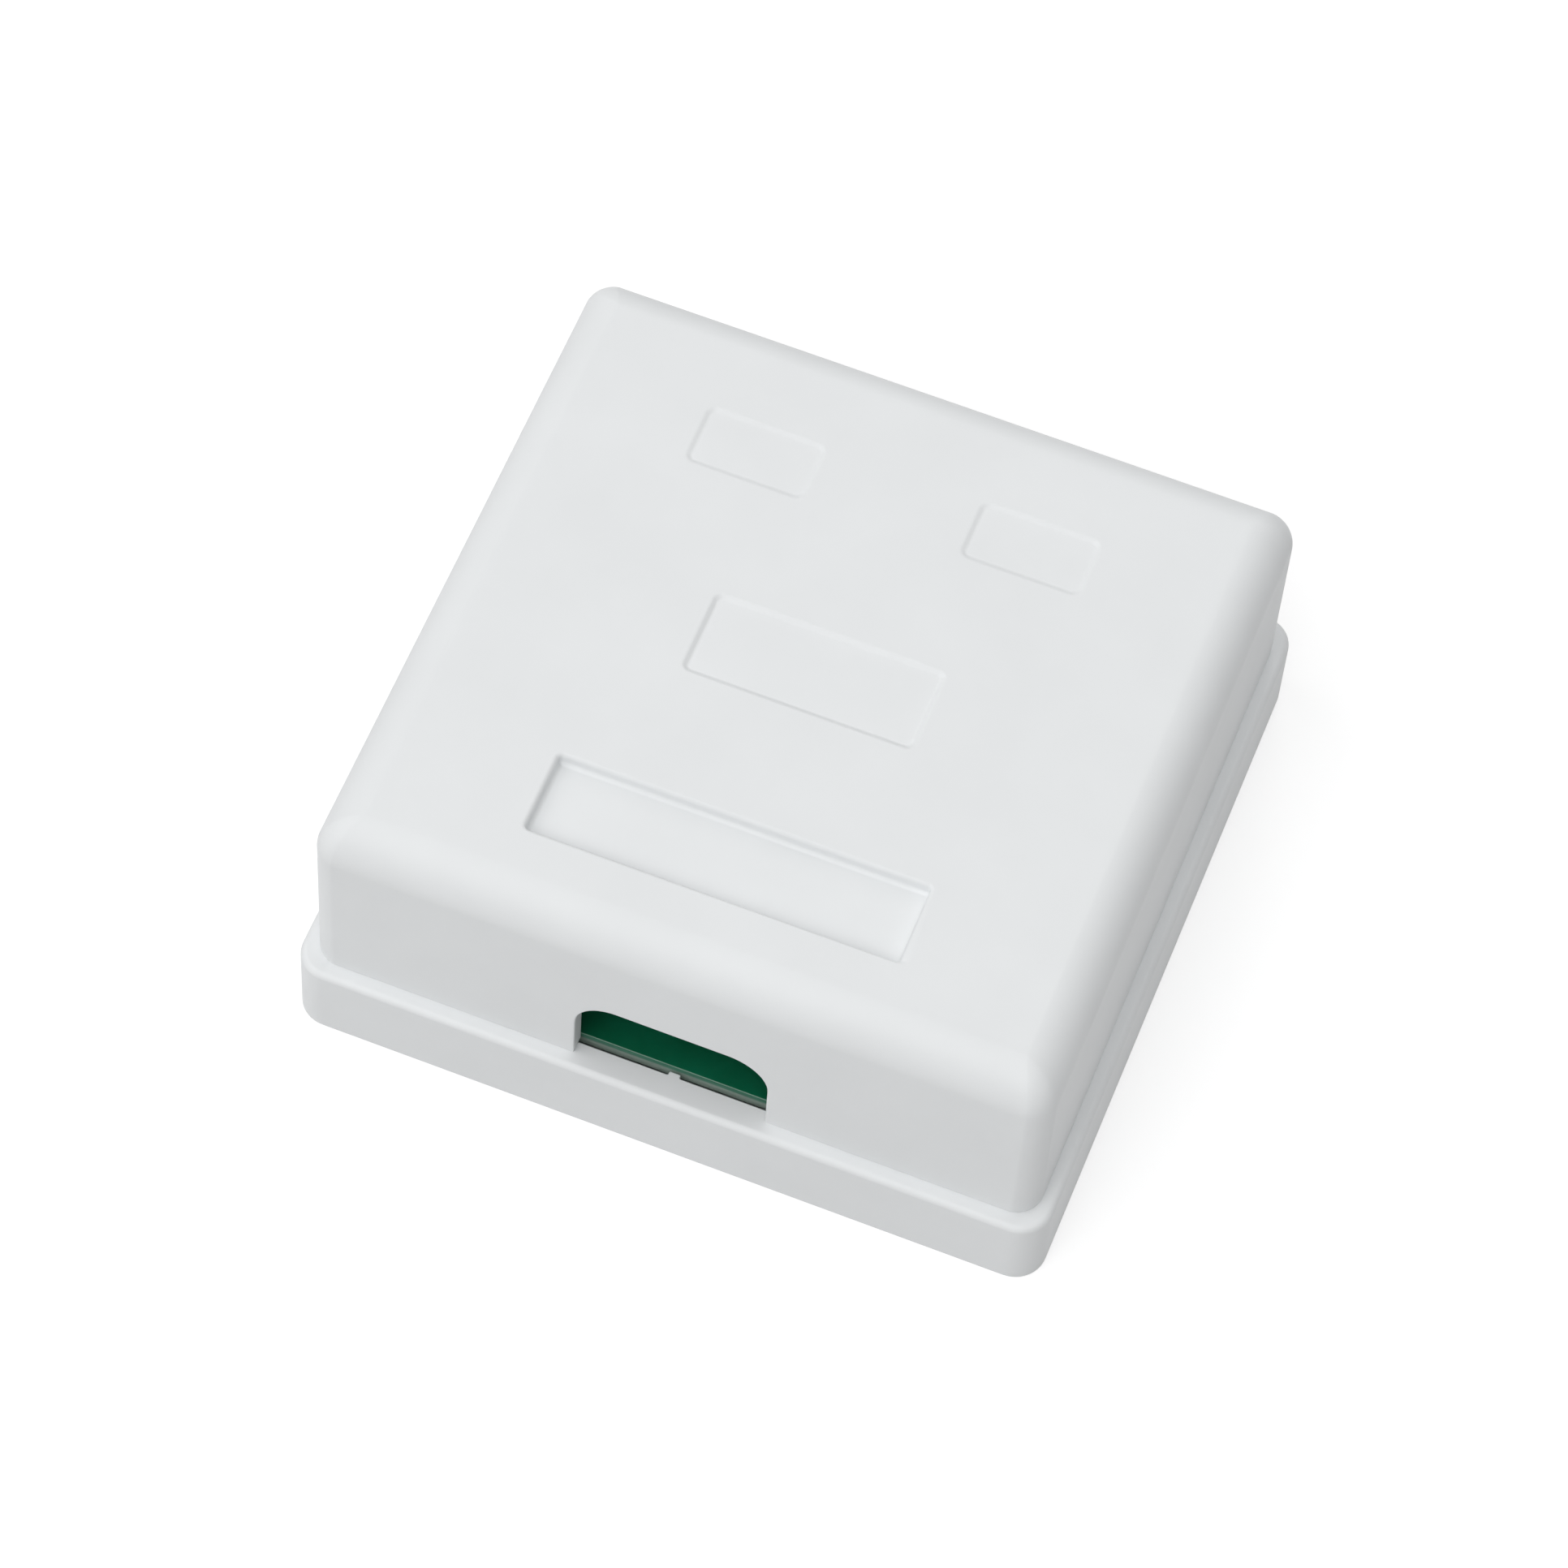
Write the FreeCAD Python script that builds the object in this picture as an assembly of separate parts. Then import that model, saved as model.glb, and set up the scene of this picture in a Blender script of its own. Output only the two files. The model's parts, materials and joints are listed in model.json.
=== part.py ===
import FreeCAD, Part
import math
import os

# Two-port surface mount jack box: a screw-down base, a circuit board with two
# eight-way jacks and four punch-down terminal blocks, and a press-on cover.
# Millimetres. +X is to the right, +Y towards the jacks, -Y towards the cable
# entry, +Z away from the wall. The origin is the middle of the underside.

# ---- base: a shallow tray that screws flat to the wall
base_width = 65.0
base_depth = 63.1
base_height = 8.1
base_wall = 2.5
base_floor = 2.0
base_corner_radius = 2.7
base_inner_radius = 1.0
base_rim_round = 0.6
wall_screw_spacing = 40.0
wall_screw_hole_radius = 2.1

# ---- cover: a shell that stands on the base's rim, set in from its edge
overall_height = 27.5
cover_side_inset = 1.25
cover_end_inset = 1.4
cover_wall = 1.6
cover_roof = 2.0
cover_corner_radius = 2.4
cover_top_radius = 3.9
cover_inner_chamfer = 1.5

# ---- cable entry: an arch in the cover's front wall, open down to the rim
entry_width = 16.5
entry_height = 8.45
entry_corner_radius = 3.5

# ---- recesses in the roof: one deep one for a label, and three shallow ones with sloping rims
label_width = 31.5
label_length = 7.3
label_sink = 1.2
label_floor = 1.4
label_skirt = 1.4
label_centre_y = -19.25
plain_field_width = 20.0
plain_field_length = 8.0
plain_field_sink = 0.3
plain_field_corner_radius = 0.8
plain_field_centre_y = -0.45
port_mark_width = 10.5
port_mark_length = 5.9
port_mark_sink = 0.2
port_mark_corner_radius = 0.9
port_mark_centre_y = 17.35
rim_slope_run = 0.4

# ---- snap hooks: four legs of the cover that catch in the base's side walls
hook_spacing = 34.0
hook_width = 6.0
hook_thickness = 1.3
hook_reach = 3.7
hook_root = 6.0
hook_wall_gap = 0.15
hook_side_gap = 0.2
nib_reach = 0.6
nib_height = 1.2
nib_shelf = 1.5
nib_lead = 0.5
catch_gap = 0.1
catch_depth = 0.75

# ---- circuit board and what holds it
board_thickness = 1.6
board_lift = 4.9
board_end_gap = 0.15
board_hook_gap = 0.35
board_rib_width = 1.0
board_rib_gap = 0.3
end_rib_spacing = 20.0
post_size = 4.6
post_inset = 3.5
peg_radius = 1.2
peg_gap = 0.15
peg_rise = 0.8
screw_head_radius = 2.4
screw_head_height = 1.7
screw_shank_radius = 1.25
screw_length = 6.0
screw_tip_gap = 0.2
screw_recess_width = 0.6
screw_recess_span = 2.6
screw_recess_depth = 1.0
screw_y = 4.0
screw_boss_size = 5.4
screw_hole_gap = 0.25
driver_hole_radius = 3.7
tie_slot_length = 3.0
tie_slot_width = 1.4
tie_slot_spacing = 5.0
tie_slot_inset = 4.7

# ---- jacks: eight-way side-entry modular jacks that stand on the board
jack_spacing = 24.0
jack_width = 15.6
jack_height = 13.3
jack_length = 21.0
jack_proud = 0.2
jack_window_gap = 0.3
port_width = 11.8
port_height = 6.8
port_floor = 4.2
port_depth = 13.0
latch_width = 6.3
latch_step = 1.3
latch_drop = 2.6
latch_mouth_width = 3.4
latch_lip = 1.9
comb_length = 2.4
comb_drop = 3.0
jack_peg_radius = 1.6
jack_peg_length = 2.4
jack_peg_spacing = 11.43
jack_peg_to_pins = 6.35
insert_start = 14.0
insert_width = 9.6
insert_end_gap = 0.3
insert_gap = 0.05
insert_ear_reach = 0.4
insert_ear_length = 2.5
insert_ear_height = 1.2
insert_ear_rise = 5.5

# ---- jack contacts: eight bent wires in each jack
contact_ways = 8
contact_pitch = 1.02
contact_width = 0.45
contact_thickness = 0.35
contact_slot_width = 0.62
contact_slot_clearance = 0.17
contact_run_height = 12.05
contact_front_bend = 0.5
contact_front = 2.4
contact_slope = 14.5
contact_tip = 11.9
pin_row_1 = 16.5
pin_row_2 = 19.04
pin_length = 1.0
pin_gap = 0.1

# ---- terminal blocks: four-way punch-down blocks with forked terminals
block_ways = 4
block_width = 5.8
block_height = 12.0
block_centre_y = -9.0
block_offset = 5.5
wire_slot_pitch = 4.0
wire_slot_width = 1.3
wire_slot_depth = 7.5
end_tooth_width = 2.0
tooth_chamfer = 0.7
tooth_tip = 1.2
fork_width = 2.9
fork_thickness = 0.5
fork_height = 10.3
fork_slot_width = 0.4
fork_slot_depth = 6.4
fork_mouth_width = 1.3
fork_mouth_depth = 0.9
fork_pocket_gap = 0.1
fork_pin_width = 0.8
fork_pin_length = 3.0
block_lug_size = 1.4
block_lug_length = 2.1
block_lug_offset = 1.9
block_lug_gap = 0.1

# ---- cover ribs that keep the jacks down
hold_rib_spacing = 8.0
hold_rib_thickness = 1.2
hold_rib_gap = 0.25
hold_rib_front = 2.5
hold_rib_length = 16.0

# ---- sizes and places that follow from the ones above
inner_half_width = base_width / 2 - base_wall
inner_half_depth = base_depth / 2 - base_wall
cover_half_width = base_width / 2 - cover_side_inset
cover_half_depth = base_depth / 2 - cover_end_inset
hook_outer = inner_half_width - hook_wall_gap
hook_inner = hook_outer - hook_thickness
board_half_width = hook_inner - board_hook_gap
board_half_depth = cover_half_depth - cover_wall - board_end_gap
board_bottom = base_floor + board_lift
board_top = board_bottom + board_thickness
roof_underside = overall_height - cover_roof
jack_face = cover_half_depth + jack_proud
jack_top = board_top + jack_height
nib_top = base_height - nib_shelf
block_length = (
    block_ways * wire_slot_width
    + (block_ways - 1) * (wire_slot_pitch - wire_slot_width)
    + 2 * end_tooth_width
)
sides = {"left": -1, "right": 1}


def point(x, y, z):
    return FreeCAD.Vector(x, y, z)


def box(x0, x1, y0, y1, z0, z1):
    """A block between two corners."""
    return Part.makeBox(x1 - x0, y1 - y0, z1 - z0, point(x0, y0, z0))


def centred_box(x, y, width, length, z0, z1):
    """A block centred on a vertical line."""
    return box(x - width / 2, x + width / 2, y - length / 2, y + length / 2, z0, z1)


def centred_boxes(places, width, length, z0, z1):
    """The same block at several places."""
    return [centred_box(x, y, width, length, z0, z1) for x, y in places]


def pillar(x, y, z0, z1, radius):
    """A round post or a round hole along Z."""
    return Part.makeCylinder(radius, z1 - z0, point(x, y, z0))


def pillars(places, z0, z1, radius):
    """The same round post or hole at several places."""
    return [pillar(x, y, z0, z1, radius) for x, y in places]


def prism(points, direction):
    """A straight prism on the outline through the points."""
    return Part.Face(Part.makePolygon(points + [points[0]])).extrude(direction)


def upright_edges(shape):
    """The straight edges that run along Z."""
    found = []
    for edge in shape.Edges:
        ends = edge.Vertexes
        if len(ends) == 2 and ends[0].Point.isEqual(point(ends[1].X, ends[1].Y, ends[0].Z), 1e-6):
            found.append(edge)
    return found


def level_edges(shape, height):
    """The edges that lie in the plane at this height."""
    return [edge for edge in shape.Edges if all(abs(v.Z - height) < 1e-6 for v in edge.Vertexes)]


def rounded_box(x, y, width, length, z0, z1, radius):
    """A block with rounded upright edges."""
    block = centred_box(x, y, width, length, z0, z1)
    return block.makeFillet(radius, upright_edges(block))


def rounded_outline(half_width, half_length, radius, z):
    """A closed rectangle with arcs at its corners, in the plane at z."""
    inset = radius * (1 - math.sqrt(0.5))
    corners = ((1, -1), (1, 1), (-1, 1), (-1, -1))
    arcs = []
    for across, along in corners:
        on_side = point(across * half_width, along * (half_length - radius), z)
        middle = point(across * (half_width - inset), along * (half_length - inset), z)
        on_end = point(across * (half_width - radius), along * half_length, z)
        ends = (on_end, on_side) if across == -along else (on_side, on_end)
        arcs.append(Part.Arc(ends[0], middle, ends[1]))
    edges = []
    for arc, following in zip(arcs, arcs[1:] + arcs[:1]):
        edges.append(arc.toShape())
        edges.append(Part.LineSegment(arc.EndPoint, following.StartPoint).toShape())
    return Part.Wire(edges)


# ------------------------------------------------------------------ base


def base_tray():
    """The outer block of the base, hollowed to its floor."""
    tray = centred_box(0, 0, base_width, base_depth, 0, base_height)
    tray = tray.makeFillet(base_corner_radius, upright_edges(tray))
    tray = tray.makeFillet(base_rim_round, level_edges(tray, base_height))
    hollow = rounded_box(
        0, 0, 2 * inner_half_width, 2 * inner_half_depth, base_floor, base_height, base_inner_radius
    )
    return tray.cut(hollow)


def hook_guide_centres():
    """Y places of the ribs that stand on both sides of each snap hook."""
    reach = hook_width / 2 + hook_side_gap + board_rib_width / 2
    return [end * hook_spacing / 2 + side * reach for end in (-1, 1) for side in (-1, 1)]


def board_ribs():
    """Ribs on the inside of the walls that keep the board in place and guide the hooks."""
    ribs = []
    end_reach = inner_half_depth - board_half_depth - board_rib_gap
    for end in (-1, 1):
        for x in (-end_rib_spacing, 0, end_rib_spacing):
            y = end * (inner_half_depth - end_reach / 2)
            ribs.append(centred_box(x, y, board_rib_width, end_reach, base_floor, base_height))
    side_reach = inner_half_width - board_half_width - board_rib_gap
    for side in sides.values():
        for y in hook_guide_centres():
            x = side * (inner_half_width - side_reach / 2)
            ribs.append(centred_box(x, y, side_reach, board_rib_width, base_floor, base_height))
    return ribs


def post_places():
    """The four corner posts under the board."""
    x = board_half_width - post_inset
    y = board_half_depth - post_inset
    return [(side * x, end * y) for side in (-1, 1) for end in (-1, 1)]


def peg_places():
    """The two posts, on a diagonal, that carry a locating peg."""
    return [(x, y) for x, y in post_places() if x * y < 0]


def screw_places():
    """The two screws that hold the board."""
    x = board_half_width - post_inset
    return [(-x, screw_y), (x, screw_y)]


def wall_screw_places():
    """The two holes for the wall screws."""
    return [(0, -wall_screw_spacing / 2), (0, wall_screw_spacing / 2)]


def board_posts():
    """Square corner posts, a round locating peg on two of them, and the two screw bosses."""
    posts = centred_boxes(post_places(), post_size, post_size, base_floor, board_bottom)
    pegs = pillars(peg_places(), board_bottom, board_top + peg_rise, peg_radius)
    size = screw_boss_size
    bosses = centred_boxes(screw_places(), size, size, base_floor, board_bottom)
    return posts + pegs + bosses


def screw_pilots():
    """Blind holes that the board screws cut into."""
    depth = screw_length - board_thickness + screw_tip_gap
    return pillars(screw_places(), board_bottom - depth, board_bottom, screw_shank_radius)


def wall_screw_holes():
    """Plain holes through the floor for the wall screws."""
    return pillars(wall_screw_places(), 0, base_floor, wall_screw_hole_radius)


def hook_catches():
    """Pockets in the side walls that the hooks' nibs snap into."""
    low = nib_top - nib_height - nib_lead
    width = hook_width + 2 * hook_side_gap
    pockets = []
    for side in sides.values():
        for end in (-1, 1):
            x = side * (inner_half_width + catch_depth / 2)
            y = end * hook_spacing / 2
            pockets.append(centred_box(x, y, catch_depth, width, low, nib_top + catch_gap))
    return pockets


def make_base():
    base = base_tray().fuse(board_ribs() + board_posts())
    return base.cut(screw_pilots() + wall_screw_holes() + hook_catches()).removeSplitter()


# ----------------------------------------------------------------- cover


def corner_envelope():
    """A column that rounds the cover's upright corners and blends them into the top edge.

    It stands a hair outside the flat walls, so that only its corners trim the cover. Its corner
    radius shrinks as the rounded top edge turns inwards, and is least where it meets the roof.
    """
    skin = 0.02
    least_radius = 0.25
    steps = 5
    spring_line = overall_height - cover_top_radius
    outline = rounded_outline(
        cover_half_width + skin, cover_half_depth + skin, cover_corner_radius, base_height
    )
    column = Part.Face(outline).extrude(point(0, 0, spring_line - base_height))
    sections = []
    for step in range(steps + 1):
        angle = math.pi / 2 * step / steps
        inset = cover_top_radius * (1 - math.cos(angle)) - skin
        radius = least_radius + (cover_corner_radius - least_radius) * math.cos(angle)
        height = spring_line + (cover_top_radius + skin) * math.sin(angle)
        sections.append(
            rounded_outline(cover_half_width - inset, cover_half_depth - inset, radius, height)
        )
    return column, Part.makeLoft(sections, True, False)


def cover_outside():
    """The cover's outer form, solid, with its rounded top edge and corners."""
    form = centred_box(
        0, 0, 2 * cover_half_width, 2 * cover_half_depth, base_height, overall_height
    )
    form = form.makeFillet(cover_top_radius, level_edges(form, overall_height))
    column, crown = corner_envelope()
    return form.common(column).fuse(form.common(crown)).removeSplitter()


def cover_hollow():
    """The space inside the cover, bevelled under the rounded top edge to keep the wall even."""
    hollow = centred_box(
        0,
        0,
        2 * (cover_half_width - cover_wall),
        2 * (cover_half_depth - cover_wall),
        base_height,
        roof_underside,
    )
    return hollow.makeChamfer(cover_inner_chamfer, level_edges(hollow, roof_underside))


def entry_arch():
    """The cable entry's cut through the front wall."""
    middle = -(cover_half_depth - cover_wall / 2)
    arch = centred_box(0, middle, entry_width, 2 * cover_wall, base_height, base_height + entry_height)
    top = level_edges(arch, base_height + entry_height)
    corners = [edge for edge in top if abs(edge.Vertexes[0].X - edge.Vertexes[1].X) < 1e-6]
    return arch.makeFillet(entry_corner_radius, corners)


def jack_windows():
    """Two openings in the rear wall, open down to the rim so that the cover lifts off the jacks."""
    middle = cover_half_depth - cover_wall / 2
    width = jack_width + 2 * jack_window_gap
    top = jack_top + jack_window_gap
    return [
        centred_box(side * jack_spacing / 2, middle, width, 2 * cover_wall, base_height, top)
        for side in sides.values()
    ]


def label_well():
    """The thicker part of the roof under the label recess."""
    width = label_width + 2 * label_skirt
    length = label_length + 2 * label_skirt
    bottom = overall_height - label_sink - label_floor
    return centred_box(0, label_centre_y, width, length, bottom, overall_height - label_sink)


def sunk_field(x, y, width, length, sink, radius):
    """A shallow recess with rounded corners, whose rim slopes down to its flat floor."""
    rim = rounded_outline(width / 2, length / 2, radius, overall_height)
    floor = rounded_outline(
        width / 2 - rim_slope_run,
        length / 2 - rim_slope_run,
        radius - rim_slope_run,
        overall_height - sink,
    )
    recess = Part.makeLoft([floor, rim], True, True)
    recess.translate(point(x, y, 0))
    return recess


def roof_recesses():
    """The label recess, the plain field and the mark above each port."""
    label = centred_box(
        0,
        label_centre_y,
        label_width,
        label_length,
        overall_height - label_sink,
        overall_height,
    )
    field = sunk_field(
        0,
        plain_field_centre_y,
        plain_field_width,
        plain_field_length,
        plain_field_sink,
        plain_field_corner_radius,
    )
    marks = [
        sunk_field(
            side * jack_spacing / 2,
            port_mark_centre_y,
            port_mark_width,
            port_mark_length,
            port_mark_sink,
            port_mark_corner_radius,
        )
        for side in sides.values()
    ]
    return [label, field] + marks


def snap_hook(side, end):
    """One snap leg: a rib down the inside of the wall that ends in an outward nib."""
    root = hook_outer
    tip = hook_outer + nib_reach
    foot = base_height - hook_reach
    top = base_height + hook_root
    outline = [
        (hook_inner, foot),
        (root, foot),
        (root, nib_top - nib_height - nib_lead),
        (tip, nib_top - nib_height),
        (tip, nib_top),
        (root, nib_top),
        (root, top),
        (hook_inner, top - hook_thickness),
    ]
    y = end * hook_spacing / 2 - hook_width / 2
    points = [point(side * x, y, z) for x, z in outline]
    return prism(points, point(0, hook_width, 0))


def hold_down_ribs():
    """Ribs under the roof that stop the jacks lifting when a plug is pulled."""
    ribs = []
    back = cover_half_depth - cover_wall - hold_rib_front
    for side in sides.values():
        for offset in (-hold_rib_spacing / 2, hold_rib_spacing / 2):
            x = side * jack_spacing / 2 + offset
            y = back - hold_rib_length / 2
            ribs.append(
                centred_box(
                    x, y, hold_rib_thickness, hold_rib_length, jack_top + hold_rib_gap, roof_underside
                )
            )
    return ribs


def make_cover():
    shell = cover_outside().cut([cover_hollow(), entry_arch()] + jack_windows())
    hooks = [snap_hook(side, end) for side in sides.values() for end in (-1, 1)]
    shell = shell.fuse([label_well()] + hooks + hold_down_ribs())
    return shell.cut(roof_recesses()).removeSplitter()


# ----------------------------------------------------------------- board


def jack_peg_places():
    """The two locating pegs under each jack."""
    y = jack_face - (pin_row_1 - jack_peg_to_pins)
    return [
        (side * jack_spacing / 2 + across * jack_peg_spacing / 2, y)
        for side in sides.values()
        for across in (-1, 1)
    ]


def contact_offset(way):
    """How far a contact lies from the middle of its jack."""
    return (way - (contact_ways - 1) / 2) * contact_pitch


def contact_row(way):
    """Depth behind the jack's face of the pin row that a contact uses."""
    return pin_row_1 if way % 2 else pin_row_2


def pin_places():
    """Where the jack contacts pass through the board."""
    return [
        (side * jack_spacing / 2 + contact_offset(way), jack_face - contact_row(way))
        for side in sides.values()
        for way in range(contact_ways)
    ]


def block_centres():
    """X of the four terminal blocks, by name."""
    return {
        f"{name}_{rank}": side * (jack_spacing / 2 + reach * block_offset)
        for name, side in sides.items()
        for rank, reach in (("outer", 1), ("inner", -1))
    }


def wire_slot_places():
    """Y of the wire slots of every terminal block."""
    return [
        block_centre_y + (way - (block_ways - 1) / 2) * wire_slot_pitch for way in range(block_ways)
    ]


def block_lug_places(x):
    """The two square lugs under a terminal block, on opposite sides of its forks."""
    y = wire_slot_pitch
    return [
        (x - block_lug_offset, block_centre_y - y),
        (x + block_lug_offset, block_centre_y + y),
    ]


def pin_holes():
    """Square-cut holes for the contacts' pins, the forks' pins and the blocks' lugs."""
    centres = block_centres().values()
    forks = [(x, y) for x in centres for y in wire_slot_places()]
    lugs = [place for x in centres for place in block_lug_places(x)]
    sizes = (
        (pin_places(), contact_width, contact_thickness, pin_gap),
        (forks, fork_thickness, fork_pin_width, pin_gap),
        (lugs, block_lug_size, block_lug_size, block_lug_gap),
    )
    holes = []
    for places, width, length, gap in sizes:
        holes += centred_boxes(places, width + 2 * gap, length + 2 * gap, board_bottom, board_top)
    return holes


def tie_slots():
    """Slots for a cable tie on each side of the cable entry."""
    y = -(board_half_depth - tie_slot_inset)
    slots = []
    for side in sides.values():
        for reach in (1, 2):
            x = side * (reach * tie_slot_spacing + tie_slot_width)
            slots.append(
                centred_box(x, y, tie_slot_width, tie_slot_length, board_bottom, board_top)
            )
    return slots


def make_circuit_board():
    board = centred_box(
        0, 0, 2 * board_half_width, 2 * board_half_depth, board_bottom, board_top
    )
    drilled = {
        peg_radius + peg_gap: peg_places(),
        screw_shank_radius + screw_hole_gap: screw_places(),
        driver_hole_radius: wall_screw_places(),
        jack_peg_radius + peg_gap: jack_peg_places(),
    }
    holes = tie_slots() + pin_holes()
    for radius, places in drilled.items():
        holes += pillars(places, board_bottom, board_top, radius)
    return board.cut(holes)


def make_board_screws():
    """Two pan-head screws that hold the board down on its bosses."""
    screws = []
    for x, y in screw_places():
        top = board_top + screw_head_height
        head = pillar(x, y, board_top, top, screw_head_radius)
        shank = pillar(x, y, board_top - screw_length, board_top, screw_shank_radius)
        floor = top - screw_recess_depth
        recess = [
            centred_box(x, y, screw_recess_width, screw_recess_span, floor, top),
            centred_box(x, y, screw_recess_span, screw_recess_width, floor, top),
        ]
        screws.append(head.fuse(shank).cut(recess))
    return Part.makeCompound(screws)


# ----------------------------------------------------------------- jacks


def jack_box(centre, width, front, back, low, high):
    """A block in a jack, between two depths behind its face and two heights above the board."""
    return box(
        centre - width / 2,
        centre + width / 2,
        jack_face - back,
        jack_face - front,
        board_top + low,
        board_top + high,
    )


def jack_port(centre):
    """The plug's cavity, with the latch channel and its two catching shoulders below."""
    latch_floor = port_floor - latch_drop
    comb_front = port_depth - comb_length
    port_roof = port_floor + port_height
    return [
        jack_box(centre, port_width, 0, comb_front, port_floor, port_roof),
        jack_box(centre, port_width, 0, port_depth, port_floor, port_roof - comb_drop),
        jack_box(centre, latch_width, 0, comb_front, port_floor - latch_step, port_floor),
        jack_box(centre, latch_mouth_width, 0, comb_front, latch_floor, port_floor),
        jack_box(centre, latch_width, latch_lip, comb_front, latch_floor, port_floor),
    ]


def contact_slots(centre):
    """Eight slots over the port and through the comb at its back, one for each contact."""
    port_roof = port_floor + port_height
    slot_front = contact_front - contact_front_bend - contact_thickness / 2 - contact_slot_clearance
    slot_top = contact_run_height + contact_thickness / 2 + contact_slot_clearance
    slots = []
    for way in range(contact_ways):
        x = centre + contact_offset(way)
        slots.append(
            jack_box(x, contact_slot_width, slot_front, insert_start, port_roof - comb_drop, slot_top)
        )
    return slots


def insert_ears(centre, gap):
    """The two side ears of the insert, or with a gap the pockets that they snap into."""
    reach = insert_width / 2 + insert_ear_reach + gap
    middle = (insert_start + jack_length) / 2
    half = insert_ear_length / 2 + gap
    low = insert_ear_rise - gap
    high = insert_ear_rise + insert_ear_height + gap
    return jack_box(centre, 2 * reach, middle - half, middle + half, low, high)


def make_jack_housing(side):
    centre = side * jack_spacing / 2
    body = jack_box(centre, jack_width, 0, jack_length, 0, jack_height)
    pegs = pillars(
        [place for place in jack_peg_places() if place[0] * side > 0],
        board_top - jack_peg_length,
        board_top,
        jack_peg_radius,
    )
    pocket_top = contact_run_height + contact_thickness / 2 + contact_slot_clearance
    pocket = jack_box(
        centre, insert_width + 2 * insert_gap, insert_start, jack_length, 0, pocket_top
    )
    cuts = jack_port(centre) + contact_slots(centre) + [pocket, insert_ears(centre, insert_gap)]
    return body.fuse(pegs).cut(cuts)


def make_jack_contact(side, way):
    """One spring wire: up from its pin, forward over the port, round a bend and back down into it."""
    x = side * jack_spacing / 2 + contact_offset(way) - contact_width / 2
    row = contact_row(way)
    half = contact_thickness / 2
    slope = math.radians(contact_slope)

    def place(depth, height):
        return point(x, jack_face - depth, board_top + height)

    def bend_point(reach, turn):
        """A point at this distance from the middle of the bend, turned back from its top."""
        depth = contact_front - reach * math.sin(turn)
        return place(depth, contact_run_height - contact_front_bend + reach * math.cos(turn))

    def tip_point(reach):
        """The end of the sloping run, on the line that leaves the bend at this distance."""
        depth = contact_front - reach * math.sin(slope)
        height = contact_run_height - contact_front_bend - reach * math.cos(slope)
        return place(contact_tip, height - (contact_tip - depth) * math.tan(slope))

    outside = contact_front_bend + half
    inside = contact_front_bend - half
    pin_end = -board_thickness - pin_length
    full_turn = math.pi - slope
    outer_bend = [bend_point(outside, turn) for turn in (0, full_turn / 2, full_turn)]
    outline = [
        outer_bend[-1],
        tip_point(outside),
        tip_point(inside),
        bend_point(inside, full_turn),
        bend_point(inside, full_turn / 2),
        bend_point(inside, 0),
        place(row - half, contact_run_height - half),
        place(row - half, pin_end),
        place(row + half, pin_end),
        place(row + half, contact_run_height + half),
        outer_bend[0],
    ]
    edges = Part.makePolygon(outline).Edges + [Part.Arc(*outer_bend).toShape()]
    return Part.Face(Part.Wire(edges)).extrude(point(contact_width, 0, 0))


def make_jack_insert(side):
    """The block at the back of a jack that the contacts are pressed into from above."""
    centre = side * jack_spacing / 2
    half = contact_thickness / 2
    top = contact_run_height + half
    front = insert_start + insert_gap
    body = jack_box(centre, insert_width, front, jack_length - insert_end_gap, 0, top)
    channels = []
    for way in range(contact_ways):
        x = centre + contact_offset(way)
        row = contact_row(way)
        channels.append(jack_box(x, contact_width, row - half, row + half, 0, top))
        channels.append(jack_box(x, contact_width, front, row, contact_run_height - half, top))
    return body.fuse(insert_ears(centre, 0)).cut(channels)


# ------------------------------------------------------- terminal blocks


def block_profile(x):
    """Side outline of a terminal block: five pointed teeth between four wire slots."""
    top = board_top + block_height
    slot_floor = top - wire_slot_depth
    half_slot = wire_slot_width / 2
    start = block_centre_y - block_length / 2
    end = block_centre_y + block_length / 2
    outline = [(start, board_top)]
    tooth_start = start
    for slot in wire_slot_places():
        outline += tooth_crest(tooth_start, slot - half_slot, top)
        outline += [(slot - half_slot, slot_floor), (slot + half_slot, slot_floor)]
        tooth_start = slot + half_slot
    outline += tooth_crest(tooth_start, end, top)
    outline.append((end, board_top))
    return [point(x, y, z) for y, z in outline]


def tooth_crest(front, back, top):
    """Outline of one tooth's tip, narrowed on both sides to lead a wire into the slot."""
    return [
        (front, top - tooth_tip),
        (front + tooth_chamfer, top),
        (back - tooth_chamfer, top),
        (back, top - tooth_tip),
    ]


def make_terminal_block(x):
    block = prism(block_profile(x - block_width / 2), point(block_width, 0, 0))
    lugs = centred_boxes(
        block_lug_places(x),
        block_lug_size,
        block_lug_size,
        board_top - block_lug_length,
        board_top,
    )
    width = fork_thickness + 2 * fork_pocket_gap
    length = fork_width + 2 * fork_pocket_gap
    top = board_top + fork_height + fork_pocket_gap
    pockets = [centred_box(x, y, width, length, board_top, top) for y in wire_slot_places()]
    return block.fuse(lugs).cut(pockets)


def make_terminal(x, y):
    """A forked insulation-piercing terminal, cut from sheet, with a pin through the board."""
    top = board_top + fork_height
    slot_floor = top - fork_slot_depth
    pin_end = board_bottom - (fork_pin_length - board_thickness)
    half = [
        (fork_pin_width / 2, pin_end),
        (fork_pin_width / 2, board_top),
        (fork_width / 2, board_top),
        (fork_width / 2, top),
        (fork_mouth_width / 2, top),
        (fork_slot_width / 2, top - fork_mouth_depth),
        (fork_slot_width / 2, slot_floor),
    ]
    outline = half + [(-across, z) for across, z in reversed(half)]
    points = [point(x - fork_thickness / 2, y + across, z) for across, z in outline]
    return prism(points, point(fork_thickness, 0, 0))


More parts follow.
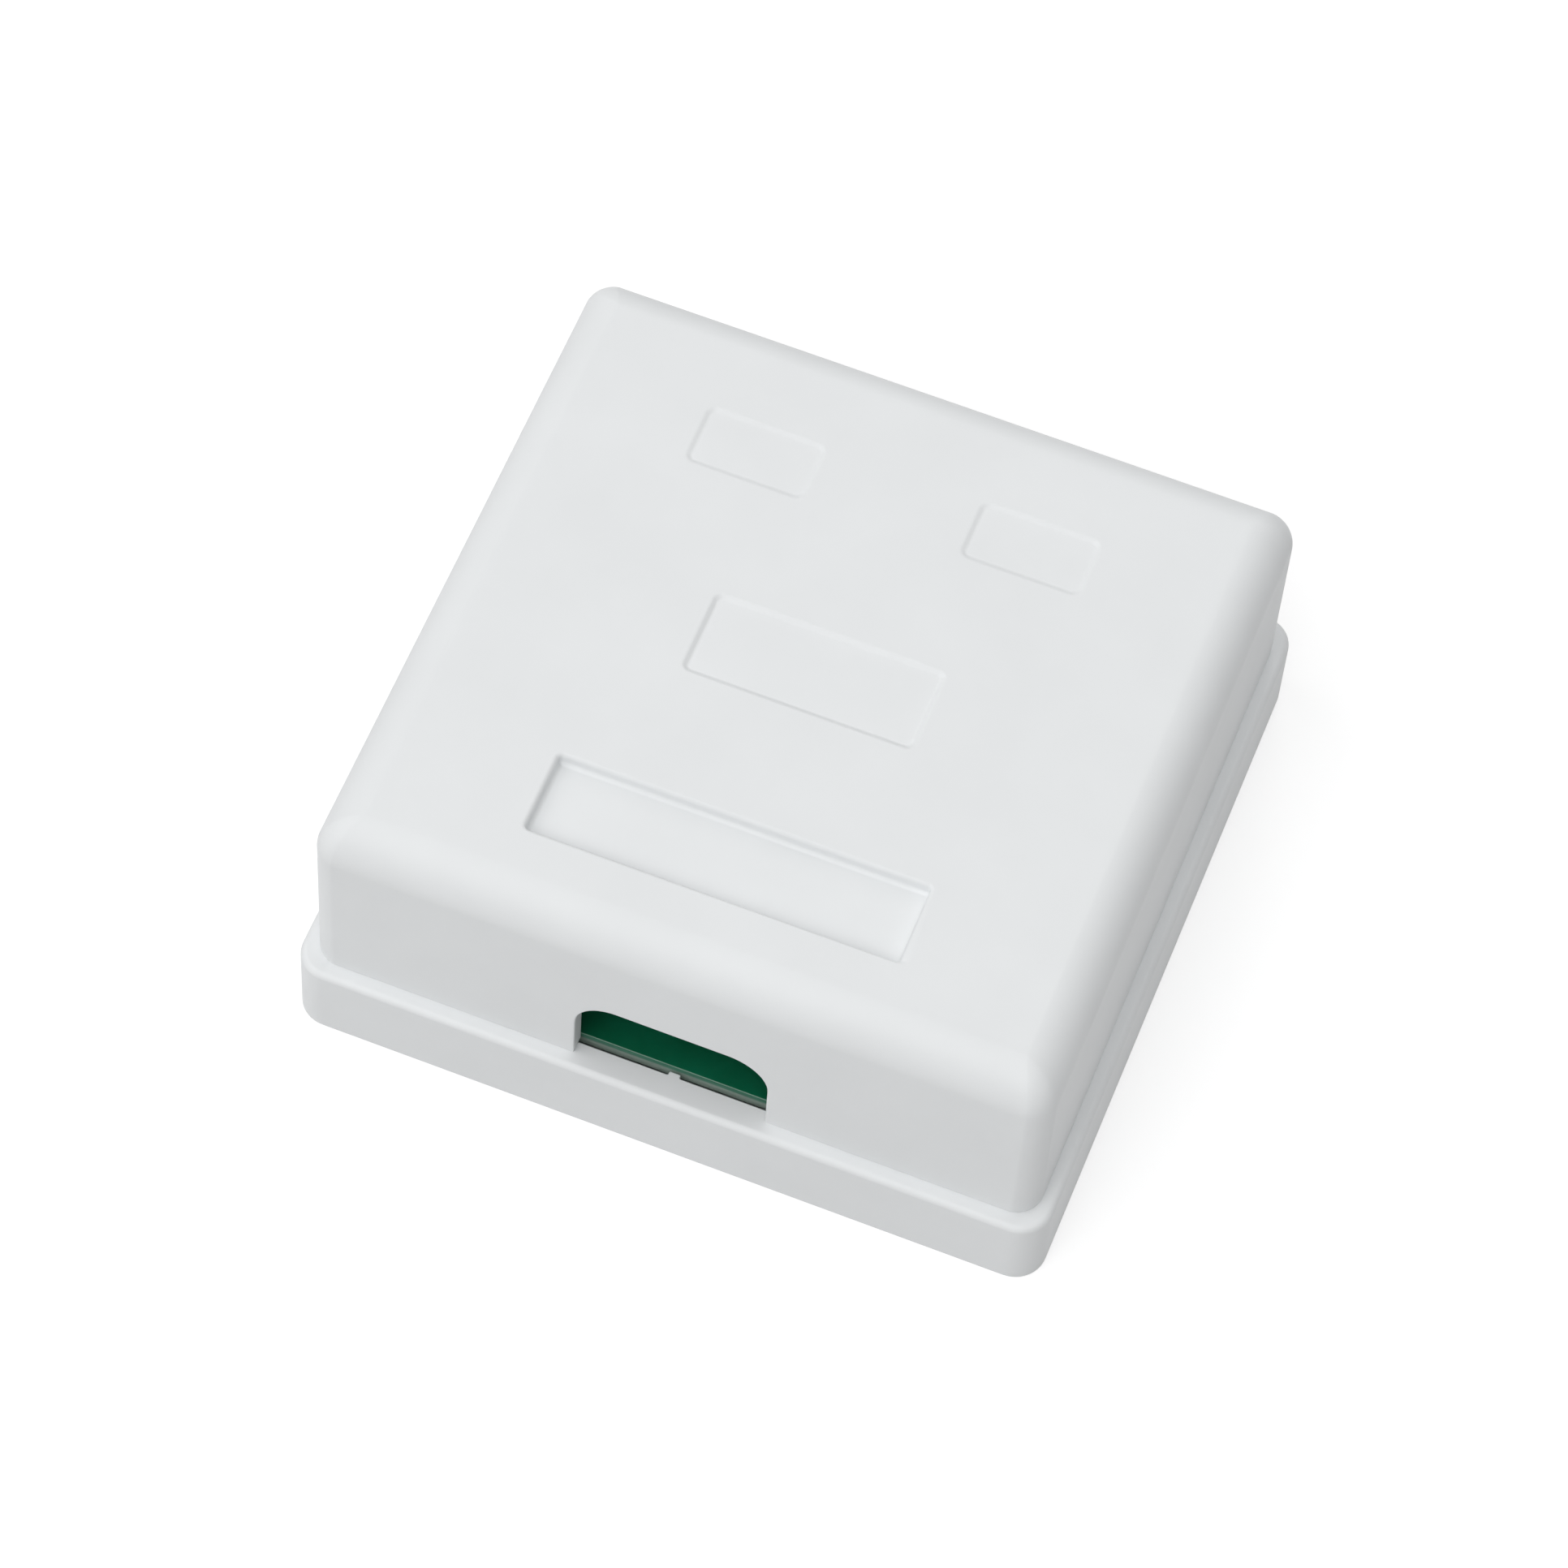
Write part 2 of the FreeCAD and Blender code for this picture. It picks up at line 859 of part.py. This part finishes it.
# ------------------------------------------------------------------ all


def make_nodes():
    """Every piece by name."""
    nodes = {
        "base": make_base(),
        "cover": make_cover(),
        "circuit_board": make_circuit_board(),
        "board_screws": make_board_screws(),
    }
    for name, side in sides.items():
        nodes[f"jack_housing_{name}"] = make_jack_housing(side)
        nodes[f"jack_insert_{name}"] = make_jack_insert(side)
        for way in range(contact_ways):
            nodes[f"jack_contact_{name}_{way + 1}"] = make_jack_contact(side, way)
    for name, x in block_centres().items():
        nodes[f"terminal_block_{name}"] = make_terminal_block(x)
        for way, y in enumerate(wire_slot_places(), 1):
            nodes[f"terminal_{name}_{way}"] = make_terminal(x, y)
    return nodes


os.makedirs("parts", exist_ok=True)
for node, shape in make_nodes().items():
    shape.exportStep(f"parts/{node}.step")
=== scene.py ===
"""Looks of the surface mount jack box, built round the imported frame.

Lengths are in metres, in the part's own axes. Seen from the cable entry, +X is to the right, +Y
leads to the jacks and +Z leads away from the wall.
"""

import json
import math

import bmesh
import bpy
from mathutils import Matrix, Vector

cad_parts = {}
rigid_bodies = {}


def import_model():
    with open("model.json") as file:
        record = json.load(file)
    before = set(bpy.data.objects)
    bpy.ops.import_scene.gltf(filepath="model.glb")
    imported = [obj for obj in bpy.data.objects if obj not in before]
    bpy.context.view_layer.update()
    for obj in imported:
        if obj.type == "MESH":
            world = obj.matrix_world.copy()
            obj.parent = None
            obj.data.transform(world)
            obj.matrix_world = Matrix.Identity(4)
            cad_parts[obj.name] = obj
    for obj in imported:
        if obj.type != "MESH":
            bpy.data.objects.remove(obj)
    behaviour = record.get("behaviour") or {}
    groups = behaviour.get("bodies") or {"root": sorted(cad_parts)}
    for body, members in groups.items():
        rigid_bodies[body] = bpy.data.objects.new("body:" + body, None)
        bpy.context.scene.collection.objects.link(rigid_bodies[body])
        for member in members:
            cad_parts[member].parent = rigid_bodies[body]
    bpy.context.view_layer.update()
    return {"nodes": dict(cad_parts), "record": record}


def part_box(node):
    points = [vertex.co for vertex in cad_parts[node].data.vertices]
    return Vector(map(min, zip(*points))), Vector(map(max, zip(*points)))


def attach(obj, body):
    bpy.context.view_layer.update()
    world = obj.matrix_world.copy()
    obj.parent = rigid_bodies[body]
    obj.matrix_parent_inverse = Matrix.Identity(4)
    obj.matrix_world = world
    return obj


for leftover in list(bpy.data.objects):
    bpy.data.objects.remove(leftover)

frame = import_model()
nodes = frame["nodes"]

MM = 0.001
SIDES = ("left", "right")
BLOCKS = [f"{side}_{rank}" for side in SIDES for rank in ("inner", "outer")]
JACK_WAYS = range(1, 9)
BLOCK_WAYS = range(1, 5)


def add_object(name, data):
    """A new object in the scene."""
    item = bpy.data.objects.new(name, data)
    bpy.context.scene.collection.objects.link(item)
    return item


def centre(node):
    """The middle of a CAD node's box."""
    low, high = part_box(node)
    return (low + high) / 2


# ---------------------------------------------------------------- materials

WHITE = (0.8, 0.816, 0.824)
MASK_DARK = (0.001, 0.1, 0.044)
MASK_LIGHT = (0.002, 0.125, 0.06)
MASK_OVER_COPPER = (0.01, 0.17, 0.07)

# The board's cut edge from its underside to its top: bare laminate, painted lighter towards the
# underside against the shade there; the mask's run-over, darkened with painted shade; and a painted
# highlight line along the top edge.
# Each stop is a share of the board's thickness and a colour.
CUT_EDGE_WITH_PAINTED_LIGHT = (
    # Bare laminate, painted lighter against the shade under the board.
    (0.0, (0.56, 0.66, 0.6)),
    (0.5, (0.4, 0.5, 0.44)),
    # The mask's run-over, with painted shade.
    (0.66, (0.1, 0.25, 0.18)),
    (0.9, (0.05, 0.2, 0.13)),
    # A painted highlight along the top edge.
    (0.97, (0.3, 0.42, 0.34)),
)


class Shader:
    """A node material with a Principled shader, and short names for the nodes it needs."""

    def __init__(self, name, **constants):
        self.material = bpy.data.materials.new(name)
        self.material.use_nodes = True
        self.tree = self.material.node_tree
        self.shader = self.tree.nodes["Principled BSDF"]
        for socket, value in constants.items():
            self.shader.inputs[socket.replace("_", " ")].default_value = value
        self.place = self.add("ShaderNodeTexCoord")

    def add(self, kind, links=(), **values):
        """A node with its settings and plain input values; links maps its inputs to outputs."""
        node = self.tree.nodes.new(kind)
        for key, value in values.items():
            if hasattr(node, key):
                setattr(node, key, value)
            else:
                node.inputs[key.replace("_", " ")].default_value = value
        for key, output in dict(links).items():
            self.tree.links.new(output, node.inputs[key])
        return node

    def feed(self, socket, output):
        """Links an output to a socket of the Principled shader."""
        self.tree.links.new(output, self.shader.inputs[socket])

    def noise(self, cell, detail=3.0, stretch=(1, 1, 1)):
        """Noise whose features are about one cell long."""
        scaled = self.add(
            "ShaderNodeMapping", {"Vector": self.place.outputs["Object"]}, Scale=stretch
        )
        return self.add(
            "ShaderNodeTexNoise",
            {"Vector": scaled.outputs["Vector"]},
            Scale=1 / cell,
            Detail=detail,
        ).outputs["Fac"]

    def ramp(self, factor, stops):
        """A colour that passes through the stops, each a position and a colour."""
        node = self.add("ShaderNodeValToRGB", {"Fac": factor})
        points = node.color_ramp.elements
        while len(points) < len(stops):
            points.new(1.0)
        for point, (position, colour) in zip(points, stops):
            point.position = position
            point.color = (*colour, 1)
        return node.outputs["Color"]

    def blend(self, factor, low, high):
        """A colour that goes from low to high over the middle of the factor's range."""
        return self.ramp(factor, ((0.3, low), (0.7, high)))

    def mix(self, factor, first, second, blend_type="MIX"):
        """Two colours mixed by a factor, which is a number or an output."""
        node = self.add("ShaderNodeMix", data_type="RGBA", blend_type=blend_type)
        if isinstance(factor, float):
            node.inputs["Factor"].default_value = factor
        else:
            self.tree.links.new(factor, node.inputs["Factor"])
        # The colour sockets share the names A and B with those of the other data types.
        first_socket, second_socket, result_socket = 6, 7, 2
        self.tree.links.new(first, node.inputs[first_socket])
        self.tree.links.new(second, node.inputs[second_socket])
        return node.outputs[result_socket]

    def level(self, factor, low, high):
        """A number that goes from low to high with the factor."""
        return self.add(
            "ShaderNodeMapRange", {"Value": factor}, To_Min=low, To_Max=high
        ).outputs["Result"]

    def bump(self, height, depth):
        """Relief of that depth."""
        node = self.add("ShaderNodeBump", {"Height": height}, Distance=depth, Strength=1.0)
        self.feed("Normal", node.outputs["Normal"])


def tint(colour, share):
    """The colour made darker or lighter."""
    return tuple(channel * share for channel in colour)


def plastic(name, colour, roughness, grain, depth, **constants):
    """Moulded plastic: a faint cloudiness, an uneven sheen and the fine grain of the mould."""
    cloud, sheen_patch, sheen_change = 9 * MM, 2.5 * MM, 0.05
    look = Shader(name, IOR=1.5, **constants)
    look.feed("Base Color", look.blend(look.noise(cloud), tint(colour, 0.985), tint(colour, 1.01)))
    look.feed(
        "Roughness",
        look.level(look.noise(sheen_patch), roughness - sheen_change, roughness + sheen_change),
    )
    look.bump(look.noise(grain, detail=2.0), depth)
    return look.material


def metal(name, colour, roughness, stretch):
    """Plated or drawn metal with fine lines along one direction."""
    line, depth = 0.12 * MM, 0.004 * MM
    look = Shader(name, Metallic=1.0)
    lines = look.noise(line, detail=4.0, stretch=stretch)
    look.feed("Base Color", look.blend(lines, tint(colour, 0.9), colour))
    look.feed("Roughness", look.level(lines, roughness - 0.06, roughness + 0.1))
    look.bump(lines, depth)
    return look.material


def board_material():
    """Green solder mask on both faces, and the cut glass-fibre laminate on the edges, with painted
    shade and a painted highlight along the top edge.
    """
    cloud, ply, grain, depth = 3 * MM, 0.35 * MM, 0.6 * MM, 0.006 * MM
    cut_roughness, mask_roughness = 0.75, 0.28
    look = Shader("solder_mask_board", IOR=1.5)
    normal = look.add("ShaderNodeSeparateXYZ", {"Vector": look.place.outputs["Normal"]})
    upright = look.add(
        "ShaderNodeMath", {"Value": normal.outputs["Z"]}, operation="ABSOLUTE"
    ).outputs["Value"]
    on_face = look.add("ShaderNodeMath", {0: upright}, operation="GREATER_THAN").outputs["Value"]
    mask = look.blend(look.noise(cloud), MASK_DARK, MASK_LIGHT)

    bottom, top = (corner.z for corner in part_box("circuit_board"))
    spot = look.add("ShaderNodeSeparateXYZ", {"Vector": look.place.outputs["Object"]})
    height = look.add(
        "ShaderNodeMapRange", {"Value": spot.outputs["Z"]}, From_Min=bottom, From_Max=top
    ).outputs["Result"]
    layers = look.noise(ply, stretch=(0.15, 0.15, 2.0))
    fibres = look.blend(layers, (0.75, 0.75, 0.75), (1, 1, 1))
    # The cut edge's colour is the laminate's own tone and fibres, with painted shade and a painted
    # highlight line along the top edge.
    laminate_and_painted_light = look.mix(1.0, look.ramp(height, CUT_EDGE_WITH_PAINTED_LIGHT), fibres, blend_type="MULTIPLY")

    look.feed("Base Color", look.mix(on_face, laminate_and_painted_light, mask))
    look.feed("Roughness", look.level(on_face, cut_roughness, mask_roughness))
    look.bump(look.noise(grain), depth)
    return look.material


looks = {
    "white_shell": plastic(
        "white_shell", WHITE, 0.48, 0.35 * MM, 0.004 * MM, Specular_IOR_Level=0.3
    ),
    "green_board": board_material(),
    "green_track": plastic("green_track", MASK_OVER_COPPER, 0.28, 0.6 * MM, 0.002 * MM),
    "white_ink": plastic("white_ink", (0.78, 0.78, 0.75), 0.6, 0.15 * MM, 0.006 * MM),
    "black_housing": plastic("black_housing", (0.02, 0.02, 0.021), 0.42, 0.2 * MM, 0.006 * MM),
    "black_insert": plastic("black_insert", (0.03, 0.03, 0.031), 0.5, 0.2 * MM, 0.006 * MM),
    "ivory_block": plastic("ivory_block", (0.74, 0.72, 0.65), 0.45, 0.25 * MM, 0.005 * MM),
    "gold_contact": metal("gold_contact", (0.92, 0.66, 0.26), 0.24, (6, 0.4, 0.4)),
    "tinned_terminal": metal("tinned_terminal", (0.74, 0.74, 0.72), 0.34, (1, 1, 0.2)),
    "zinc_screw": metal("zinc_screw", (0.68, 0.69, 0.71), 0.3, (1, 1, 1)),
}

for entry in frame["record"]["subparts"]:
    slots = nodes[entry["node"]].data.materials
    slots.clear()
    slots.append(looks[entry["material_slot"]])

# ---------------------------------------------- rounded edges of the CAD nodes

SAME_POINT = 0.002 * MM
FLAT_ANGLE = math.radians(0.4)
EDGE_ANGLE = math.radians(35)
SLOPING_RIM_ANGLE = math.radians(20)


class Rounding:
    """A geometry node group that says how far each sharp edge of a node is rounded.

    Each zone is a box's two corners, a radius, and the least angle between two faces whose edge
    it rounds. An edge takes the last zone that holds its middle. A middle right on the border is
    outside, so a zone stands out past the edges that it is for.
    """

    def __init__(self, name, zones):
        self.tree = bpy.data.node_groups.new(name, "GeometryNodeTree")
        for way in ("INPUT", "OUTPUT"):
            self.tree.interface.new_socket("Geometry", in_out=way, socket_type="NodeSocketGeometry")
        self.place = self.tree.nodes.new("GeometryNodeInputPosition").outputs[0]
        self.angle = self.tree.nodes.new("GeometryNodeInputMeshEdgeAngle").outputs[0]
        self.width = max(radius for _, _, radius, _ in zones)
        weight = 0.0
        for low, high, radius, least_angle in zones:
            sharp = self.maths("GREATER_THAN", self.angle, least_angle)
            own = self.maths("MULTIPLY", sharp, radius / self.width)
            change = self.maths("SUBTRACT", own, weight)
            weight = self.maths("MULTIPLY_ADD", self.within(low, high), change, weight)
        store = self.tree.nodes.new("GeometryNodeStoreNamedAttribute")
        store.data_type = "FLOAT"
        store.domain = "EDGE"
        store.inputs["Name"].default_value = "bevel_weight_edge"
        entry = self.tree.nodes.new("NodeGroupInput")
        end = self.tree.nodes.new("NodeGroupOutput")
        self.tree.links.new(weight, store.inputs["Value"])
        self.tree.links.new(entry.outputs[0], store.inputs["Geometry"])
        self.tree.links.new(store.outputs["Geometry"], end.inputs[0])

    def maths(self, operation, *values, kind="ShaderNodeMath"):
        """A node that works on numbers, vectors or outputs of other nodes."""
        node = self.tree.nodes.new(kind)
        node.operation = operation
        for socket, value in zip(node.inputs, values):
            if isinstance(value, bpy.types.NodeSocket):
                self.tree.links.new(value, socket)
            else:
                socket.default_value = value
        return node.outputs[0]

    def within(self, low, high):
        """One for the edges whose middle lies in the box, and zero for the others."""
        vector = "ShaderNodeVectorMath"
        low, high = Vector(low), Vector(high)
        offset = self.maths("SUBTRACT", self.place, (low + high) / 2, kind=vector)
        reach = self.maths("ABSOLUTE", offset, kind=vector)
        past = self.maths("SUBTRACT", reach, (high - low) / 2, kind=vector)
        split = self.tree.nodes.new("ShaderNodeSeparateXYZ")
        self.tree.links.new(past, split.inputs[0])
        most = self.maths("MAXIMUM", split.outputs["X"], split.outputs["Y"])
        return self.maths("LESS_THAN", self.maths("MAXIMUM", most, split.outputs["Z"]), 0.0)


def soften(node, radius, zones=(), segments=2):
    """Rounds a node's sharp edges a little, as moulding and stamping leave them."""
    piece = nodes[node]
    weld = piece.modifiers.new("weld", "WELD")
    weld.merge_threshold = SAME_POINT
    flats = piece.modifiers.new("flats", "DECIMATE")
    flats.decimate_type = "DISSOLVE"
    flats.angle_limit = FLAT_ANGLE
    low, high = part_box(node)
    margin = Vector((MM, MM, MM))
    everywhere = (low - margin, high + margin, radius, EDGE_ANGLE)
    rounding = Rounding(f"rounding_{node}", [everywhere, *zones])
    weights = piece.modifiers.new("weights", "NODES")
    weights.node_group = rounding.tree
    edges = piece.modifiers.new("edges", "BEVEL")
    edges.width = rounding.width
    edges.segments = segments
    edges.limit_method = "WEIGHT"
    edges.use_clamp_overlap = False
    edges.miter_outer = "MITER_ARC"
    shade = piece.modifiers.new("shade", "WEIGHTED_NORMAL")
    shade.keep_sharp = False
    for face in piece.data.polygons:
        face.use_smooth = True


def soften_cover():
    """The roof's recesses have rims of their own; the label's is the roundest."""
    low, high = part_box("cover")
    left, front = low.lerp(high, 0.1).xy
    right, rear = low.lerp(high, 0.9).xy
    label_end = low.y + (high.y - low.y) / 3
    above = -MM
    zones = [
        (
            (left, front, high.z - lowest),
            (right, end, high.z - highest),
            radius,
            SLOPING_RIM_ANGLE,
        )
        for end, lowest, highest, radius in (
            (rear, 1.5 * MM, above, 0.13 * MM),  # all recesses
            (label_end, MM, 0.3 * MM, 0.3 * MM),  # the label recess's upright corners
            (label_end, 1.5 * MM, MM, 0.4 * MM),  # the edges of its floor
            (label_end, 0.3 * MM, above, 0.4 * MM),  # its rim
        )
    ]
    soften("cover", 0.15 * MM, zones, segments=4)


def soften_screws():
    """Pan heads: a large round at the rim, and crisp edges at the cross recess."""
    head_radius = 2.4 * MM
    rim_height = 0.2 * MM
    rim_radius = 0.8 * MM
    recess_reach = 1.6 * MM
    recess_radius = 0.06 * MM
    low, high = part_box("board_screws")
    middle = (low + high) / 2
    reach = high.x - middle.x - head_radius
    rims = (
        (low.x - MM, low.y - MM, high.z - rim_height),
        (high.x + MM, high.y + MM, high.z + MM),
        rim_radius,
        EDGE_ANGLE,
    )
    recesses = [
        (
            (axis - recess_reach, middle.y - recess_reach, low.z),
            (axis + recess_reach, middle.y + recess_reach, high.z + MM),
            recess_radius,
            EDGE_ANGLE,
        )
        for axis in (middle.x - reach, middle.x + reach)
    ]
    soften("board_screws", 0.1 * MM, [rims, *recesses], segments=4)


soften_cover()
soften("base", 0.12 * MM)
soften("circuit_board", 0.05 * MM)
soften_screws()
for side in SIDES:
    soften(f"jack_housing_{side}", 0.12 * MM)
    soften(f"jack_insert_{side}", 0.06 * MM)
    for way in JACK_WAYS:
        soften(f"jack_contact_{side}_{way}", 0.07 * MM)
for block in BLOCKS:
    soften(f"terminal_block_{block}", 0.15 * MM)
    for way in BLOCK_WAYS:
        soften(f"terminal_{block}_{way}", 0.05 * MM)

# ------------------------------------------- tracks and legend on the board

TRACK_WIDTH, TRACK_HEIGHT = 0.3 * MM, 0.035 * MM
TRACK_PITCH = 0.6 * MM
TRACK_TURN = 0.4 * MM
FAN_START = 1.2 * MM
LINE_WIDTH, LINE_HEIGHT = 0.18 * MM, 0.05 * MM
BLOCK_GAP, JACK_GAP, BOARD_END_GAP = 0.35 * MM, 0.45 * MM, 0.6 * MM
TICK = 0.9 * MM

board_end, board_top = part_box("circuit_board")[1].yz


def strip(mesh, path, width, height, closed):
    """A flat strip of that width on the board, which follows the path with mitred turns."""
    points = [Vector(point) for point in path]
    if closed:
        before, after = points[-1], points[0]
    else:
        before, after = 2 * points[0] - points[1], 2 * points[-1] - points[-2]
    rings = []
    for previous, point, following in zip([before, *points], points, [*points[1:], after]):
        arrive = (point - previous).normalized()
        leave = (following - point).normalized()
        across = (arrive + leave).normalized().orthogonal()
        offset = across * width / 2 / across.dot(arrive.orthogonal())
        ring = []
        for side, z in ((1, 0), (-1, 0), (-1, height), (1, height)):
            corner = point + side * offset
            ring.append(mesh.verts.new((corner.x, corner.y, board_top + z)))
        rings.append(ring)
    pairs = list(zip(rings, rings[1:]))
    if closed:
        pairs.append((rings[-1], rings[0]))
    else:
        mesh.faces.new(rings[0])
        mesh.faces.new(rings[-1])
    for ring, following in pairs:
        for k in range(4):
            mesh.faces.new((ring[k - 1], ring[k], following[k], following[k - 1]))


def board_print(name, strips, width, height, look):
    """One piece of thin strips printed or etched on the board, each a path, open or closed."""
    mesh = bmesh.new()
    for path, closed in strips:
        strip(mesh, path, width, height, closed)
    bmesh.ops.recalc_face_normals(mesh, faces=mesh.faces)
    data = bpy.data.meshes.new(name)
    mesh.to_mesh(data)
    mesh.free()
    data.materials.append(look)
    piece = add_object(name, data)
    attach(piece, "base")


def track_path(side, way):
    """A copper track from a jack's pin, down the lane between the blocks, to a terminal.

    The first four turn off to the block left of the lane, the last four to the block right of it.
    """
    pin = centre(f"jack_contact_{side}_{way}").x
    jack = centre(f"jack_housing_{side}").x
    jack_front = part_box(f"jack_housing_{side}")[0].y
    left, right = sorted(
        (f"{side}_inner", f"{side}_outer"), key=lambda block: centre(f"terminal_{block}_1").x
    )
    if way <= 4:
        block, place, near_corner, towards = left, 5 - way, 1, -1
    else:
        block, place, near_corner, towards = right, way - 4, 0, 1
    target = centre(f"terminal_{block}_{place}").y
    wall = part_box(f"terminal_block_{block}")[near_corner].x
    lane = jack + (way - 4.5) * TRACK_PITCH
    fan = jack_front - FAN_START
    return [
        (pin, jack_front),
        (pin, fan),
        (lane, fan - abs(lane - pin)),
        (lane, target + TRACK_TURN),
        (lane + towards * TRACK_TURN, target),
        (wall, target),
    ]


def legend_strips():
    """White outlines round the blocks and jacks, with a tick at each terminal."""
    strips = []
    for block in BLOCKS:
        low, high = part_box(f"terminal_block_{block}")
        x0, y0 = low.x - BLOCK_GAP, low.y - BLOCK_GAP
        x1, y1 = high.x + BLOCK_GAP, high.y + BLOCK_GAP
        strips.append(([(x0, y0), (x1, y0), (x1, y1), (x0, y1)], True))
        away = 1 if block.startswith("right") == block.endswith("outer") else -1
        start = x1 if away > 0 else x0
        for way in BLOCK_WAYS:
            y = centre(f"terminal_{block}_{way}").y
            strips.append(([(start, y), (start + away * TICK, y)], False))
    end = board_end - BOARD_END_GAP
    for side in SIDES:
        low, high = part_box(f"jack_housing_{side}")
        x0, y0, x1 = low.x - JACK_GAP, low.y - JACK_GAP, high.x + JACK_GAP
        strips.append(([(x0, end), (x0, y0), (x1, y0), (x1, end)], False))
    return strips


tracks = [(track_path(side, way), False) for side in SIDES for way in JACK_WAYS]
board_print(
    "board_tracks", tracks, TRACK_WIDTH, TRACK_HEIGHT, looks["green_track"]
)
board_print(
    "board_legend", legend_strips(), LINE_WIDTH, LINE_HEIGHT, looks["white_ink"]
)

# ------------------------------------- camera, fitted to the photo's view

AZIMUTH = math.radians(16.979)
ELEVATION = math.radians(58.604)
ROLL = math.radians(5.057)
# Where the origin lies, as the camera sees it.
ORIGIN_AHEAD = 534.303 * MM
ORIGIN_RIGHT = 1.307 * MM
ORIGIN_DOWN = 4.831 * MM
# In millimetres, as Blender takes them.
SENSOR_WIDTH = 36
FOCAL_LENGTH = 146.46


def make_camera():
    """A camera at the photo's angle, turned about its own axis by the roll."""
    level = math.cos(ELEVATION)
    ahead = Vector(
        (-math.sin(AZIMUTH) * level, math.cos(AZIMUTH) * level, -math.sin(ELEVATION))
    )
    level_right = Vector((math.cos(AZIMUTH), math.sin(AZIMUTH), 0))
    level_down = ahead.cross(level_right)
    right = math.cos(ROLL) * level_right - math.sin(ROLL) * level_down
    down = math.sin(ROLL) * level_right + math.cos(ROLL) * level_down
    lens = bpy.data.cameras.new("camera")
    lens.sensor_width = SENSOR_WIDTH
    lens.lens = FOCAL_LENGTH
    camera = add_object("camera", lens)
    stand = -(ORIGIN_RIGHT * right + ORIGIN_DOWN * down + ORIGIN_AHEAD * ahead)
    turn = Matrix((right, -down, -ahead)).transposed().to_4x4()
    camera.matrix_world = Matrix.Translation(stand) @ turn
    bpy.context.scene.camera = camera


make_camera()

# ------------------------------------------------------- floor and light

FLOOR_HALF = 1.2
FLOOR_COLOUR = (0.58, 0.58, 0.58, 1)
FLOOR_GLOW = 0.56
AMBIENT = 0.3
LAMP_DISTANCE = 1.5


def seen_directly(tree):
    """One for what the camera sees, also in a reflection or through a clear piece, else zero."""
    path = tree.nodes.new("ShaderNodeLightPath")
    seen = path.outputs["Is Camera Ray"]
    for ray in ("Is Glossy Ray", "Is Transmission Ray"):
        larger = tree.nodes.new("ShaderNodeMath")
        larger.operation = "MAXIMUM"
        tree.links.new(seen, larger.inputs[0])
        tree.links.new(path.outputs[ray], larger.inputs[1])
        seen = larger.outputs["Value"]
    return seen


def make_floor():
    """A pale matt floor that reads as white to the camera and keeps the shadow."""
    look = Shader("floor", Roughness=0.9, Base_Color=FLOOR_COLOUR, Emission_Color=(1, 1, 1, 1))
    look.feed("Emission Strength", look.level(seen_directly(look.tree), 0.0, FLOOR_GLOW))
    mesh = bpy.data.meshes.new("floor")
    corners = [
        (x * FLOOR_HALF, y * FLOOR_HALF, 0) for x, y in ((-1, -1), (1, -1), (1, 1), (-1, 1))
    ]
    mesh.from_pydata(corners, [], [(0, 1, 2, 3)])
    mesh.materials.append(look.material)
    floor = add_object("floor", mesh)


def make_world():
    """Even light from all round, and plain white where the camera or a reflection sees it."""
    world = bpy.data.worlds.new("studio")
    world.use_nodes = True
    tree = world.node_tree
    back = tree.nodes["Background"]
    back.inputs["Color"].default_value = (1, 1, 1, 1)
    strength = tree.nodes.new("ShaderNodeMapRange")
    strength.inputs["To Min"].default_value = AMBIENT
    strength.inputs["To Max"].default_value = 1.0
    tree.links.new(seen_directly(tree), strength.inputs["Value"])
    tree.links.new(strength.outputs["Result"], back.inputs["Strength"])
    bpy.context.scene.world = world


def make_lamp(name, direction, size, power):
    """A square soft lamp that stands in that direction and shines on the origin."""
    light = bpy.data.lights.new(name, "AREA")
    light.size = size
    light.energy = power
    lamp = add_object(name, light)
    towards = Vector(direction).normalized()
    lamp.location = towards * LAMP_DISTANCE
    lamp.rotation_mode = "QUATERNION"
    lamp.rotation_quaternion = towards.to_track_quat("Z", "Y")


make_floor()
make_world()
make_lamp("front_left", direction=(-0.4, -0.6, 1), size=1.6, power=11.4)
make_lamp("front_high", direction=(0.15, -1, 1.2), size=1.2, power=4.6)
make_lamp("left", direction=(-1, 0, 0.8), size=1.0, power=2.4)
make_lamp("rear", direction=(0.1, 1, 1), size=1.2, power=5.6)

bpy.context.scene.view_settings.view_transform = "Standard"
